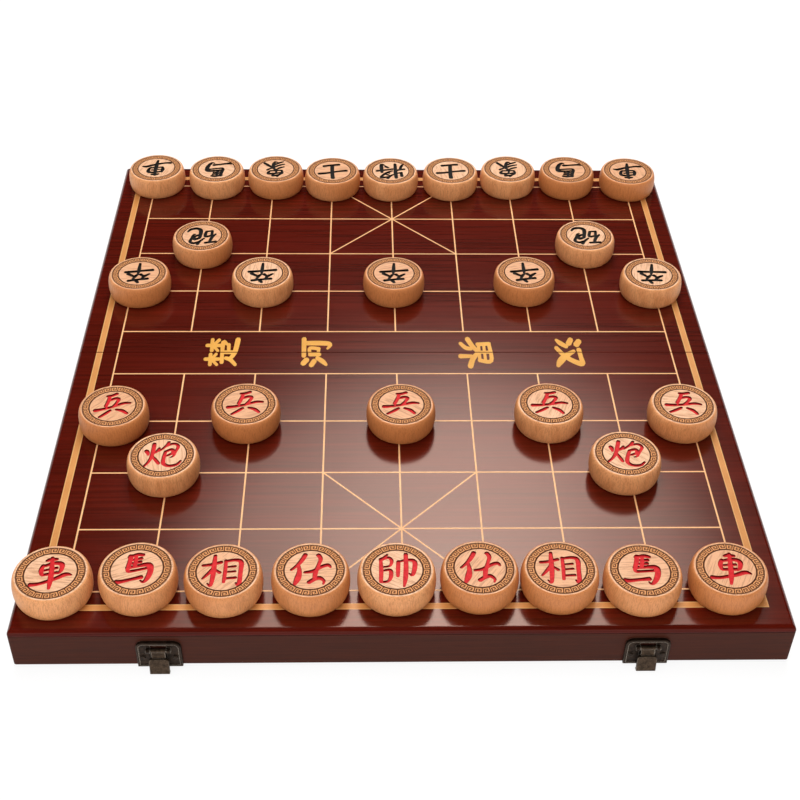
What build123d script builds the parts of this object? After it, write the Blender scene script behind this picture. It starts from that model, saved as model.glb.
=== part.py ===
from build123d import *

import math
import os

# A folding xiangqi box, open as a board, with its thirty-two men set out to play.
# Two shallow trays, face down, meet at a fold along X. Their outer faces are the playing
# surface, and folding the far tray down and under the near one makes a case for the men.
# X runs across the files, -Y is the red side, +Z is up. Millimetres.

# ---- the grid of the playing surface ----
FILE_PITCH = 47.5
RANK_PITCH = 48.4
RIVER = 46.7
FILES = 9
RANKS_PER_SIDE = 5

# ---- the two trays ----
BOARD_WIDTH = 434.0
TRAY_DEPTH = 246.0
SEAM = 0.3
PANEL_THICKNESS = 4.0
PANEL_NOSE = 3.0
PANEL_UNDER_EDGE = 0.6
SEAM_EDGE = 0.25
CORNER_RADIUS = 1.4
RAIL_THICKNESS = 11.0
RAIL_HEIGHT = 23.6
RIM_EDGE = 0.6
LINING_WALL = 1.0
LINING_GAP = 0.1
LINING_SETBACK = 1.5

# ---- butt hinges, let into the two fold rails ----
KNUCKLE_RADIUS = 1.4
KNUCKLE_COUNT = 5
KNUCKLE_GAP = 0.3
KNUCKLE_NOTCH = 0.3
PIN_RADIUS = 0.6
PIN_FIT = 0.02
PIN_HEAD_RADIUS = 1.0
PIN_HEAD = 0.5
HINGE_LENGTH = 40.0
HINGE_OFFSET = 120.0
LEAF_THICKNESS = 1.2
LEAF_HEIGHT = 14.0
MORTISE_GAP = 0.2
SCREW_SPACING = 13.5
SCREW_HEIGHT = 7.5
SCREW_STAGGER = 2.0
SCREW_HEAD_RADIUS = 2.1
SCREW_SHANK_RADIUS = 1.05
SCREW_LENGTH = 8.0
SCREW_POINT = 1.6
SCREW_SUNK = 0.1
SCREW_SLOT = 0.6
SCREW_SLOT_DEPTH = 0.4
PILOT_GAP = 0.03

# ---- duckbill clasps: plate and swinging bill in front, catch plate at the back ----
CLASP_OFFSET = 135.4
PLATE_WIDTH = 25.0
PLATE_HEIGHT = 20.0
PLATE_THICKNESS = 2.0
PLATE_CORNER = 4.5
PLATE_EDGE = 0.7
PLATE_BORDER = 1.5
PLATE_DISH = 0.4
CHANNEL_WIDTH = 9.0
CHANNEL_FLOOR = 1.0
CHANNEL_TOP = 17.4
WINDOW_HEIGHT = 5.6
PIVOT_HEIGHT = 14.2
PIVOT_OUT = 2.0
LUG_RADIUS = 1.7
LUG_WIDTH = 2.4
BARREL_RADIUS = 1.3
BARREL_GAP = 0.3
BILL_WIDTH = 11.0
BILL_LENGTH = 10.8
BILL_INNER = 0.1
BILL_OUTER = 2.0
BILL_CORNER = 2.0
BILL_EDGE = 0.5
NECK_WIDTH = 7.5
NECK_OUTER = 1.0
NIB_REACH = 0.7
NIB_HEIGHT = 0.65
HOOK_BELOW_RIM = 1.65
BILL_REST_ANGLE = 9.0
BEAD_HEIGHT = 0.6
BEAD_OUT = 1.8
CATCH_WIDTH = 12.0
CATCH_POCKET = 7.0
TACK_SPACING = 18.0
TACK_HEIGHT = 8.0
TACK_SHANK_RADIUS = 0.6
TACK_HEAD_RADIUS = 1.6
TACK_HEAD = 0.8
TACK_LENGTH = 6.0

# ---- the men: turned drums with a flat face ----
MAN_DIAMETER = 44.2
MAN_HEIGHT = 16.6
MAN_FACE_DIAMETER = 40.0
MAN_BASE_DIAMETER = 38.6
MAN_SHOULDER = 0.8
MAN_LACQUER_GAP = 0.1
RING_OUTER_DIAMETER = 38.2
RING_INNER_DIAMETER = 28.4
RING_GROOVE = 0.5
RING_GROOVE_DEPTH = 0.3

# ---- worked out from the above ----
AXIS_Z = KNUCKLE_RADIUS
RIM_Z = AXIS_Z + SEAM / 2
PANEL_Z = RIM_Z + RAIL_HEIGHT
BOARD_TOP = PANEL_Z + PANEL_THICKNESS
TRAY_RUN = TRAY_DEPTH - SEAM / 2
TRAY_MIDDLE = (TRAY_DEPTH + SEAM / 2) / 2
SIDES = {"left": -1, "right": 1}
HALVES = {"near": -1, "far": 1}


def save(piece, name):
    """Label a finished piece and write it as a node of its own."""
    piece.label = name
    export_step(piece, f"parts/{name}.step")


def front_plane(x, half):
    """The outer face of a tray's long rail: X across, Y up from the rim, Z outwards."""
    return Plane(
        origin=(x, half * TRAY_DEPTH, RIM_Z),
        x_dir=(-half, 0, 0),
        z_dir=(0, half, 0),
    )


def fold_plane(x, half, depth=0.0):
    """A fold face: X across, Y up from the hinge axis, Z out of the wood to the seam."""
    return Plane(
        origin=(x, half * (SEAM / 2 + depth), AXIS_Z),
        x_dir=(half, 0, 0),
        z_dir=(0, -half, 0),
    )


# where the three screws of a leaf stand on its fold plane, and a plate's two tacks on its face
SCREW_PLACES = [
    (-SCREW_SPACING, SCREW_HEIGHT - SCREW_STAGGER),
    (0, SCREW_HEIGHT + SCREW_STAGGER),
    (SCREW_SPACING, SCREW_HEIGHT - SCREW_STAGGER),
]
TACK_PLACES = [(-TACK_SPACING / 2, TACK_HEIGHT), (TACK_SPACING / 2, TACK_HEIGHT)]


# ---- trays ----
def tray_outline(half):
    """The plan of one tray, its two outer corners rounded."""
    with BuildSketch() as outline:
        with Locations((0, half * TRAY_MIDDLE)):
            Rectangle(BOARD_WIDTH, TRAY_RUN)
        fillet(outline.vertices().group_by(Axis.Y)[-1 if half > 0 else 0], CORNER_RADIUS)
    return outline.sketch


def fold_edge(edges):
    """Of some edges, the one along X that lies nearest the fold."""
    return min(edges.filter_by(Axis.X), key=lambda edge: abs(edge.center().Y))


def playing_panel(half):
    """The board that closes a tray: bullnosed on three edges, nearly square at the fold."""
    with BuildPart() as panel:
        with BuildSketch(Plane.XY.offset(PANEL_Z)):
            add(tray_outline(half))
        extrude(amount=PANEL_THICKNESS)
        top = panel.edges().group_by(Axis.Z)[-1]
        fillet(top - ShapeList([fold_edge(top)]), PANEL_NOSE)
        under = panel.edges().group_by(Axis.Z)[0]
        fillet(under - ShapeList([fold_edge(under)]), PANEL_UNDER_EDGE)
        chamfer(fold_edge(panel.edges().group_by(Axis.Z)[-1]), SEAM_EDGE)
    return panel.part


def rail_wedge(half, run):
    """Plan corners of the mitred wedge that one rail fills."""
    across = BOARD_WIDTH / 2
    outer = half * TRAY_DEPTH
    fold = half * SEAM / 2
    inner_outer = half * (TRAY_DEPTH - RAIL_THICKNESS)
    inner_fold = half * (SEAM / 2 + RAIL_THICKNESS)
    inside = across - RAIL_THICKNESS
    if run == "long":
        return [(-across, outer), (across, outer), (inside, inner_outer), (-inside, inner_outer)]
    if run == "fold":
        return [(-across, fold), (across, fold), (inside, inner_fold), (-inside, inner_fold)]
    side = SIDES[run]
    return [
        (side * across, outer),
        (side * across, fold),
        (side * inside, inner_fold),
        (side * inside, inner_outer),
    ]


def tray_rail(half, run):
    """One mitred wall of a tray, its rim edges eased under the wrapping."""
    with BuildPart() as rail:
        with BuildSketch(Plane.XY.offset(RIM_Z)):
            add(tray_outline(half))
            Polygon(*rail_wedge(half, run), align=None, mode=Mode.INTERSECT)
        extrude(amount=RAIL_HEIGHT)
        if run != "fold":
            rim = rail.edges().group_by(Axis.Z)[0]
            straight = rim.filter_by(Axis.X) + rim.filter_by(Axis.Y)
            fillet(straight + rim.filter_by(GeomType.CIRCLE), RIM_EDGE)
        if run == "long":
            for x in (-CLASP_OFFSET, CLASP_OFFSET):
                with BuildSketch(front_plane(x, half)):
                    with Locations(*TACK_PLACES):
                        Circle(TACK_SHANK_RADIUS + PILOT_GAP)
                extrude(amount=-TACK_LENGTH, mode=Mode.SUBTRACT)
        if run == "fold":
            for x in (-HINGE_OFFSET, HINGE_OFFSET):
                with BuildSketch(fold_plane(x, half)):
                    with Locations((0, LEAF_HEIGHT / 2)):
                        Rectangle(
                            HINGE_LENGTH + 2 * MORTISE_GAP, LEAF_HEIGHT + 2 * MORTISE_GAP
                        )
                extrude(amount=-LEAF_THICKNESS, mode=Mode.SUBTRACT)
                with BuildSketch(Plane.YZ.offset(x)):
                    with Locations((0, AXIS_Z)):
                        Circle(KNUCKLE_RADIUS + KNUCKLE_NOTCH)
                extrude(amount=HINGE_LENGTH / 2 + 2 * PIN_HEAD, both=True, mode=Mode.SUBTRACT)
                with BuildSketch(fold_plane(x, half)):
                    with Locations(*SCREW_PLACES):
                        Circle(SCREW_SHANK_RADIUS + PILOT_GAP)
                extrude(amount=-SCREW_LENGTH - SCREW_SUNK, mode=Mode.SUBTRACT)
    return rail.part


def tray_lining(half):
    """A flocked card tray glued inside the walls and under the playing panel."""
    width = BOARD_WIDTH - 2 * (RAIL_THICKNESS + LINING_GAP)
    depth = TRAY_RUN - 2 * (RAIL_THICKNESS + LINING_GAP)
    with BuildPart() as lining:
        with BuildSketch(Plane.XY.offset(RIM_Z + LINING_SETBACK)):
            with Locations((0, half * TRAY_MIDDLE)):
                Rectangle(width, depth)
        extrude(amount=RAIL_HEIGHT - LINING_SETBACK)
        with BuildSketch(Plane.XY.offset(RIM_Z + LINING_SETBACK)):
            with Locations((0, half * TRAY_MIDDLE)):
                Rectangle(width - 2 * LINING_WALL, depth - 2 * LINING_WALL)
        extrude(amount=RAIL_HEIGHT - LINING_SETBACK - LINING_WALL, mode=Mode.SUBTRACT)
    return lining.part


# ---- hinges ----
def knuckle_spans(half):
    """(middle, length) along X of the knuckles that belong to one leaf."""
    pitch = HINGE_LENGTH / KNUCKLE_COUNT
    first = 0 if half < 0 else 1
    return [
        ((n + 0.5) * pitch - HINGE_LENGTH / 2, pitch - KNUCKLE_GAP)
        for n in range(first, KNUCKLE_COUNT, 2)
    ]


def hinge_leaf(x, half):
    """A leaf with its own knuckles, cut back where the other leaf's knuckles turn."""
    with BuildPart() as leaf:
        with BuildSketch(fold_plane(x, half)):
            with Locations((0, LEAF_HEIGHT / 2)):
                Rectangle(HINGE_LENGTH, LEAF_HEIGHT)
        extrude(amount=-LEAF_THICKNESS)
        for middle, length in knuckle_spans(-half):
            with BuildSketch(Plane.YZ.offset(x + middle)):
                with Locations((0, AXIS_Z)):
                    Circle(KNUCKLE_RADIUS + KNUCKLE_GAP)
            extrude(amount=length / 2 + KNUCKLE_GAP, both=True, mode=Mode.SUBTRACT)
        for middle, length in knuckle_spans(half):
            with BuildSketch(Plane.YZ.offset(x + middle)):
                with Locations((0, AXIS_Z)):
                    Circle(KNUCKLE_RADIUS)
            extrude(amount=length / 2, both=True)
        with BuildSketch(Plane.YZ.offset(x)):
            with Locations((0, AXIS_Z)):
                Circle(PIN_RADIUS + PIN_FIT)
        extrude(amount=HINGE_LENGTH, both=True, mode=Mode.SUBTRACT)
        with Locations(fold_plane(x, half)):
            with Locations(*SCREW_PLACES):
                CounterSinkHole(
                    radius=SCREW_SHANK_RADIUS + PILOT_GAP,
                    counter_sink_radius=SCREW_HEAD_RADIUS + SCREW_SUNK + PILOT_GAP,
                    counter_sink_angle=90,
                )
    return leaf.part


def hinge_screw(x, half, place):
    """A countersunk wood screw with a cross recess, driven in from the fold face."""
    head = fold_plane(x, half, SCREW_SUNK)
    across = Plane(
        origin=head.from_local_coords((place[0], place[1], 0)),
        x_dir=head.z_dir,
        z_dir=head.x_dir,
    )
    with BuildPart() as screw:
        with BuildSketch(across):
            with BuildLine():
                Polyline(
                    (0, 0),
                    (0, -SCREW_HEAD_RADIUS),
                    (SCREW_SHANK_RADIUS - SCREW_HEAD_RADIUS, -SCREW_SHANK_RADIUS),
                    (-SCREW_LENGTH + SCREW_POINT, -SCREW_SHANK_RADIUS),
                    (-SCREW_LENGTH, 0),
                    close=True,
                )
            make_face()
        revolve(axis=Axis(across.origin, head.z_dir))
        with BuildSketch(head):
            with Locations(place):
                Rectangle(1.4 * SCREW_HEAD_RADIUS, SCREW_SLOT)
                Rectangle(SCREW_SLOT, 1.4 * SCREW_HEAD_RADIUS)
        extrude(amount=-SCREW_SLOT_DEPTH, mode=Mode.SUBTRACT)
    return screw.part


def hinge_pin(x):
    """The pin through all the knuckles, riveted over at both ends."""
    with BuildPart() as pin:
        with BuildSketch(Plane.YZ.offset(x)):
            with Locations((0, AXIS_Z)):
                Circle(PIN_RADIUS)
        extrude(amount=HINGE_LENGTH / 2, both=True)
        for end in (-1, 1):
            with BuildSketch(Plane.YZ.offset(x + end * HINGE_LENGTH / 2)):
                with Locations((0, AXIS_Z)):
                    Circle(PIN_HEAD_RADIUS)
            extrude(amount=end * PIN_HEAD)
    return pin.part


# ---- clasps ----
def clasp_blank(face):
    """The dished plate both halves of a clasp start from, with its tack holes."""
    outwards = Axis(face.origin, face.z_dir)
    with BuildPart() as plate:
        with BuildSketch(face) as outline:
            with Locations((0, PLATE_HEIGHT / 2)):
                Rectangle(PLATE_WIDTH, PLATE_HEIGHT)
            fillet(outline.vertices().sort_by(Axis.Y)[-2:], PLATE_CORNER)
        extrude(amount=PLATE_THICKNESS)
        fillet(plate.faces().sort_by(outwards)[-1].edges(), PLATE_EDGE)
        with BuildSketch(face.offset(PLATE_THICKNESS - PLATE_DISH)) as dish:
            with Locations((0, PLATE_HEIGHT / 2)):
                Rectangle(PLATE_WIDTH - 2 * PLATE_BORDER, PLATE_HEIGHT - 2 * PLATE_BORDER)
            fillet(dish.vertices().sort_by(Axis.Y)[-2:], PLATE_CORNER - PLATE_BORDER)
        extrude(amount=PLATE_DISH, mode=Mode.SUBTRACT)
        with BuildSketch(face):
            with Locations(*TACK_PLACES):
                Circle(TACK_SHANK_RADIUS + PILOT_GAP)
        extrude(amount=PLATE_THICKNESS, mode=Mode.SUBTRACT)
    return plate.part


def hasp_plate(x):
    """The front plate: a channel for the bill, a window behind its barrel, two lugs."""
    face = front_plane(x, -1)
    pivot_y = -TRAY_DEPTH - PIVOT_OUT
    pivot_z = RIM_Z + PIVOT_HEIGHT
    with BuildPart() as plate:
        add(clasp_blank(face))
        with BuildSketch(face.offset(CHANNEL_FLOOR)):
            with Locations((0, CHANNEL_TOP / 2)):
                Rectangle(CHANNEL_WIDTH, CHANNEL_TOP)
        extrude(amount=PLATE_THICKNESS, mode=Mode.SUBTRACT)
        with BuildSketch(face):
            with Locations((0, PIVOT_HEIGHT)):
                Rectangle(CHANNEL_WIDTH, WINDOW_HEIGHT)
        extrude(amount=PLATE_THICKNESS, mode=Mode.SUBTRACT)
        for side in (-1, 1):
            with BuildSketch(Plane.YZ.offset(x + side * CHANNEL_WIDTH / 2)):
                with Locations((pivot_y, pivot_z)):
                    Circle(LUG_RADIUS)
            extrude(amount=side * LUG_WIDTH)
        with BuildSketch(Plane.YZ.offset(x)):
            with Locations((pivot_y, pivot_z)):
                Circle(PIN_RADIUS + PIN_FIT)
        extrude(amount=CHANNEL_WIDTH / 2 + LUG_WIDTH, both=True, mode=Mode.SUBTRACT)
    return plate.part


def pivot_pin(x):
    """The plain wire that the bill swings on, cut flush with both lugs."""
    with BuildPart() as pin:
        with BuildSketch(Plane.YZ.offset(x)):
            with Locations((-TRAY_DEPTH - PIVOT_OUT, RIM_Z + PIVOT_HEIGHT)):
                Circle(PIN_RADIUS)
        extrude(amount=CHANNEL_WIDTH / 2 + LUG_WIDTH, both=True)
    return pin.part


def hasp_bill(x):
    """The swinging bill, drawn hanging straight and turned out to where it rests."""
    turn = math.radians(BILL_REST_ANGLE)
    hang = Plane(
        origin=(x, -TRAY_DEPTH - PIVOT_OUT, RIM_Z + PIVOT_HEIGHT),
        x_dir=(0, -math.cos(turn), math.sin(turn)),
        z_dir=(-1, 0, 0),
    )
    tip = -PIVOT_HEIGHT - HOOK_BELOW_RIM
    top = tip + BILL_LENGTH
    with BuildPart() as bill:
        with BuildSketch(hang):
            Circle(BARREL_RADIUS)
        extrude(amount=CHANNEL_WIDTH / 2 - BARREL_GAP, both=True)
        with BuildSketch(hang):
            with Locations(((BILL_INNER + NECK_OUTER) / 2, top / 2)):
                Rectangle(NECK_OUTER - BILL_INNER, -top)
        extrude(amount=NECK_WIDTH / 2, both=True)
        with BuildSketch(hang):
            with BuildLine():
                Polyline(
                    (BILL_INNER, top),
                    (BILL_OUTER, top),
                    (BILL_OUTER, tip),
                    (-NIB_REACH, tip),
                    (-NIB_REACH, tip + NIB_HEIGHT),
                    (BILL_INNER, tip + NIB_HEIGHT),
                    close=True,
                )
            make_face()
        extrude(amount=BILL_WIDTH / 2, both=True)
        corners = [
            edge
            for edge in bill.edges().filter_by(GeomType.LINE)
            if abs(edge.length - (BILL_OUTER - BILL_INNER)) < 1e-6
            and abs(abs(edge.center().X - x) - BILL_WIDTH / 2) < 1e-6
        ]
        fillet(corners, BILL_CORNER)
        outwards = Axis(hang.origin, hang.x_dir)
        fillet(bill.faces().sort_by(outwards)[-1].edges(), BILL_EDGE)
        with BuildSketch(hang):
            Circle(PIN_RADIUS + PIN_FIT)
        extrude(amount=BILL_WIDTH, both=True, mode=Mode.SUBTRACT)
    return bill.part


def catch_plate(x):
    """The back plate: a pocket with a bead along the rim, under which the nib hooks."""
    face = front_plane(x, 1)
    with BuildPart() as plate:
        add(clasp_blank(face))
        with BuildSketch(face.offset(CHANNEL_FLOOR)):
            with Locations((0, CATCH_POCKET / 2)):
                Rectangle(CATCH_WIDTH, CATCH_POCKET)
        extrude(amount=PLATE_THICKNESS, mode=Mode.SUBTRACT)
        with BuildSketch(face):
            with Locations((0, BEAD_HEIGHT / 2)):
                Rectangle(CATCH_WIDTH, BEAD_HEIGHT)
        extrude(amount=BEAD_OUT)
    return plate.part


def tack(x, half, place):
    """A round-headed tack through a clasp plate into the rail."""
    face = front_plane(x, half)
    head = face.offset(PLATE_THICKNESS - PLATE_DISH)
    with BuildPart() as nail:
        with BuildSketch(head):
            with Locations(place):
                Circle(TACK_HEAD_RADIUS)
        extrude(amount=TACK_HEAD)
        crown = nail.faces().sort_by(Axis(face.origin, face.z_dir))[-1].edges()
        fillet(crown, 0.9 * TACK_HEAD)
        with BuildSketch(head):
            with Locations(place):
                Circle(TACK_SHANK_RADIUS)
        extrude(amount=-TACK_LENGTH)
    return nail.part


# ---- the men ----
def man(x, y):
    """A turned drum with bulging sides and two fine rings cut in its face."""
    base = Plane(origin=(x, y, BOARD_TOP + MAN_LACQUER_GAP), x_dir=(1, 0, 0), z_dir=(0, -1, 0))
    flat = MAN_FACE_DIAMETER / 2
    foot = MAN_BASE_DIAMETER / 2
    with BuildPart() as drum:
        with BuildSketch(base):
            with BuildLine():
                Line((0, 0), (foot, 0))
                Line((foot, 0), (foot + MAN_SHOULDER, MAN_SHOULDER))
                ThreePointArc(
                    (foot + MAN_SHOULDER, MAN_SHOULDER),
                    (MAN_DIAMETER / 2, MAN_HEIGHT / 2),
                    (flat + MAN_SHOULDER, MAN_HEIGHT - MAN_SHOULDER),
                )
                Line((flat + MAN_SHOULDER, MAN_HEIGHT - MAN_SHOULDER), (flat, MAN_HEIGHT))
                Line((flat, MAN_HEIGHT), (0, MAN_HEIGHT))
                Line((0, MAN_HEIGHT), (0, 0))
            make_face()
        revolve(axis=Axis((x, y, 0), (0, 0, 1)))
        face = Plane(origin=(x, y, BOARD_TOP + MAN_LACQUER_GAP + MAN_HEIGHT))
        with BuildSketch(face):
            Circle(RING_OUTER_DIAMETER / 2)
            Circle(RING_OUTER_DIAMETER / 2 - RING_GROOVE, mode=Mode.SUBTRACT)
            Circle(RING_INNER_DIAMETER / 2 + RING_GROOVE)
            Circle(RING_INNER_DIAMETER / 2, mode=Mode.SUBTRACT)
        extrude(amount=-RING_GROOVE_DEPTH, mode=Mode.SUBTRACT)
    return drum.part


def point(file, rank):
    """The crossing of a file, 0 to 8 from the left, and a rank, 0 to 4 from the river."""
    return (
        (file - (FILES - 1) / 2) * FILE_PITCH,
        RIVER / 2 + rank * RANK_PITCH,
    )


BACK_RANK = RANKS_PER_SIDE - 1
CANNON_RANK = 2
SOLDIER_RANK = 1

# Each rank of men from left to right: name, file, and how far a hand has set the man
# down from its point, to the right and away from the red side.
RED_MEN = {
    BACK_RANK: [
        ("chariot_left", 0, -5, -1),
        ("horse_left", 1, -5.5, 1.5),
        ("elephant_left", 2, -5.5, 0),
        ("advisor_left", 3, -4.5, 0.5),
        ("general", 4, -4, 0.5),
        ("advisor_right", 5, -5, 1.5),
        ("elephant_right", 6, -7.5, 1),
        ("horse_right", 7, -8.5, -1),
        ("chariot_right", 8, -7.5, 0),
    ],
    CANNON_RANK: [("cannon_left", 1, -2, -2), ("cannon_right", 7, -4, -1.5)],
    SOLDIER_RANK: [
        ("soldier_1", 0, 9, -4.5),
        ("soldier_2", 2, -2.5, -2.5),
        ("soldier_3", 4, 1.5, -3),
        ("soldier_4", 6, 1.5, -2.5),
        ("soldier_5", 8, -7.5, -3),
    ],
}
BLACK_MEN = {
    BACK_RANK: [
        ("chariot_left", 0, 2.5, 0),
        ("horse_left", 1, 3, -1.5),
        ("elephant_left", 2, 2.5, -1),
        ("advisor_left", 3, 0.5, -3.5),
        ("general", 4, -0.5, -3.5),
        ("advisor_right", 5, 0, -2.5),
        ("elephant_right", 6, -1, 0),
        ("horse_right", 7, -1, -0.5),
        ("chariot_right", 8, 0.5, -2.5),
    ],
    CANNON_RANK: [("cannon_left", 1, 0, -1), ("cannon_right", 7, 2, 0.5)],
    SOLDIER_RANK: [
        ("soldier_1", 0, 7, -1.5),
        ("soldier_2", 2, 0, -1),
        ("soldier_3", 4, -0.5, -1),
        ("soldier_4", 6, -1, 0),
        ("soldier_5", 8, -4, -1.5),
    ],
}


os.makedirs("parts", exist_ok=True)

for name, half in HALVES.items():
    save(playing_panel(half), f"{name}_panel")
    save(tray_rail(half, "long"), "near_front_rail" if half < 0 else "far_back_rail")
    save(tray_rail(half, "fold"), f"{name}_fold_rail")
    save(tray_rail(half, "left"), f"{name}_left_rail")
    save(tray_rail(half, "right"), f"{name}_right_rail")
    save(tray_lining(half), f"{name}_lining")
    for side, sign in SIDES.items():
        save(hinge_leaf(sign * HINGE_OFFSET, half), f"{side}_hinge_{name}_leaf")
    screws = [
        hinge_screw(sign * HINGE_OFFSET, half, place)
        for sign in SIDES.values()
        for place in SCREW_PLACES
    ]
    save(Compound(screws), f"{name}_hinge_screws")
    tacks = [
        tack(sign * CLASP_OFFSET, half, place)
        for sign in SIDES.values()
        for place in TACK_PLACES
    ]
    save(Compound(tacks), "hasp_tacks" if half < 0 else "catch_tacks")

hinge_pins = [hinge_pin(sign * HINGE_OFFSET) for sign in SIDES.values()]
save(Compound(hinge_pins), "hinge_pins")
pivot_pins = [pivot_pin(sign * CLASP_OFFSET) for sign in SIDES.values()]
save(Compound(pivot_pins), "hasp_pivot_pins")

for side, sign in SIDES.items():
    save(hasp_plate(sign * CLASP_OFFSET), f"{side}_hasp_plate")
    save(hasp_bill(sign * CLASP_OFFSET), f"{side}_hasp_bill")
    save(catch_plate(sign * CLASP_OFFSET), f"{side}_catch_plate")

for colour, half, men in (("red", -1, RED_MEN), ("black", 1, BLACK_MEN)):
    for rank, row in men.items():
        for role, file, right, away in row:
            x, y = point(file, rank)
            save(man(x + right, half * y + away), f"{colour}_{role}")
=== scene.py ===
import math
import random

import bmesh
import bpy
from mathutils import Matrix, Vector


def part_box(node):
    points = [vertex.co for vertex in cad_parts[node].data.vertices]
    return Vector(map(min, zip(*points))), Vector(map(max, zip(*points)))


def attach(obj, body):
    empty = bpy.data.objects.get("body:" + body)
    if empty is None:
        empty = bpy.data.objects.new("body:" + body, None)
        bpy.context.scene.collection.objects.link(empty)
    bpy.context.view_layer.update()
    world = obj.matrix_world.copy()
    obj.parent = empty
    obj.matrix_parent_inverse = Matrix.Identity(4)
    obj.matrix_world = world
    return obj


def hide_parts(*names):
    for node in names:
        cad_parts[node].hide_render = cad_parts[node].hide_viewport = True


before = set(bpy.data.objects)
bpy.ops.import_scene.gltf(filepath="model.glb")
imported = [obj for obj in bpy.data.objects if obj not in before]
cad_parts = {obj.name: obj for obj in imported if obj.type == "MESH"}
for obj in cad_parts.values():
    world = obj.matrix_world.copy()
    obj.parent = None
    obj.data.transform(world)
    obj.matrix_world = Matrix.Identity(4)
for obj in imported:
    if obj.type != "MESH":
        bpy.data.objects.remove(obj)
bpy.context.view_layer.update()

# ---- the studio ----
# A white paper sweep. A warm softbox behind the board lies along the lacquer as a sheen, and
# weak ones overhead and in front light the wood. Above the sweep the air is dark, so that the
# lacquer stays clear. The camera stands on the red side, a little left, in metres and radians.

MM = 0.001
SENSOR = 36.0
LENS = 60.37
CAMERA_PLACE = (-0.02255, -0.72495, 0.59908)
CAMERA_YAW = 0.035785
CAMERA_DOWN = 0.701553
CAMERA_ROLL = -0.022053
SWEEP_REACH = 4.0
BACK_PLACE = (0.167, 1.204, 1.815)
BACK_AIM = (-0.067, -0.664, -0.745)
BACK_SIZES = ((1.3, 1.3), (1.16, 1.18), (0.72, 0.98), (0.44, 0.52))
BACK_STEP = 0.02
BACK_POWER = 6.3


class Wire:
    """One output of a node, written in sums like a number."""

    def __init__(self, wiring, socket):
        self.wiring = wiring
        self.socket = socket

    def math(self, operation, *others):
        sockets = dict(enumerate((self, *others)))
        return self.wiring.node("ShaderNodeMath", {"operation": operation}, sockets)

    def __add__(self, other):
        return self.math("ADD", other)

    def __radd__(self, other):
        return self.math("ADD", other)

    def __sub__(self, other):
        return self.math("SUBTRACT", other)

    def __rsub__(self, other):
        return self.wiring.node("ShaderNodeMath", {"operation": "SUBTRACT"}, {0: other, 1: self})

    def __mul__(self, other):
        return self.math("MULTIPLY", other)

    def __rmul__(self, other):
        return self.math("MULTIPLY", other)

    def __truediv__(self, other):
        return self.math("DIVIDE", other)

    def __abs__(self):
        return self.math("ABSOLUTE")

    def ramp(self, low, high, start=0.0, end=1.0):
        """Runs smoothly from start to end as this value goes from low to high."""
        sockets = {"Value": self, "From Min": low, "From Max": high, "To Min": start, "To Max": end}
        settings = {"interpolation_type": "SMOOTHSTEP"}
        return self.wiring.node("ShaderNodeMapRange", settings, sockets)


class Wiring:
    """One node tree, with a single way to add a node to it."""

    def __init__(self, tree):
        self.tree = tree

    def node(self, kind, settings=None, sockets=None, output=0):
        made = self.tree.nodes.new(kind)
        for name, value in (settings or {}).items():
            setattr(made, name, value)
        for name, value in (sockets or {}).items():
            if isinstance(value, Wire):
                self.tree.links.new(value.socket, made.inputs[name])
            else:
                made.inputs[name].default_value = value
        return Wire(self, made.outputs[output]) if len(made.outputs) else made

    def sight(self):
        """Whether a ray is the camera's own, a mirrored one or one through glass."""
        kinds = ("Is Camera Ray", "Is Glossy Ray", "Is Transmission Ray")
        return [self.node("ShaderNodeLightPath", None, None, kind) for kind in kinds]

    def parts(self, vector):
        """The three numbers of a vector."""
        split = self.node("ShaderNodeSeparateXYZ", None, {"Vector": vector}).socket.node
        return [Wire(self, socket) for socket in split.outputs]


class Finish(Wiring):
    """A surface finish."""

    def __init__(self, name):
        self.material = bpy.data.materials.new(name)
        self.material.use_nodes = True
        self.material.node_tree.nodes.clear()
        super().__init__(self.material.node_tree)

    def place(self):
        """Where a point lies on the object, in millimetres."""
        place = self.node("ShaderNodeTexCoord", None, None, "Object")
        settings = {"operation": "SCALE"}
        return self.node("ShaderNodeVectorMath", settings, {0: place, "Scale": 1000.0})

    def grain(self, place, per_mm, detail=3.0, rough=0.5, twist=0.0):
        """Noise with its own scale along each axis, in turns per millimetre."""
        scaled = self.node("ShaderNodeVectorMath", {"operation": "MULTIPLY"}, {0: place, 1: per_mm})
        sockets = {
            "Vector": scaled,
            "Scale": 1.0,
            "Detail": detail,
            "Roughness": rough,
            "Distortion": twist,
        }
        return self.node("ShaderNodeTexNoise", None, sockets)

    def blend(self, share, low, high):
        """A colour between two, by share."""
        settings = {"data_type": "RGBA"}
        return self.node("ShaderNodeMix", settings, {0: share, 6: low, 7: high}, 2)

    def bump(self, height, depth, strength=1.0):
        """A normal for a height from 0 to 1, depth millimetres deep."""
        return self.node("ShaderNodeBump", None, {"Height": height, "Distance": depth * MM,
                                                  "Strength": strength})

    def shader(self, **sockets):
        """Names are the shader's own, with _ for a space."""
        named = {name.replace("_", " "): value for name, value in sockets.items()}
        return self.node("ShaderNodeBsdfPrincipled", None, named)

    def ends_in(self, shader):
        self.node("ShaderNodeOutputMaterial", None, {"Surface": shader})
        return self.material

    def surface(self, **sockets):
        return self.ends_in(self.shader(**sockets))


def shade(red, green, blue):
    """A screen colour, 0 to 255, as the light it stands for."""
    levels = [v / 255 for v in (red, green, blue)]
    light = [v / 12.92 if v <= 0.04045 else ((v + 0.055) / 1.055) ** 2.4 for v in levels]
    return (*light, 1.0)


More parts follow.
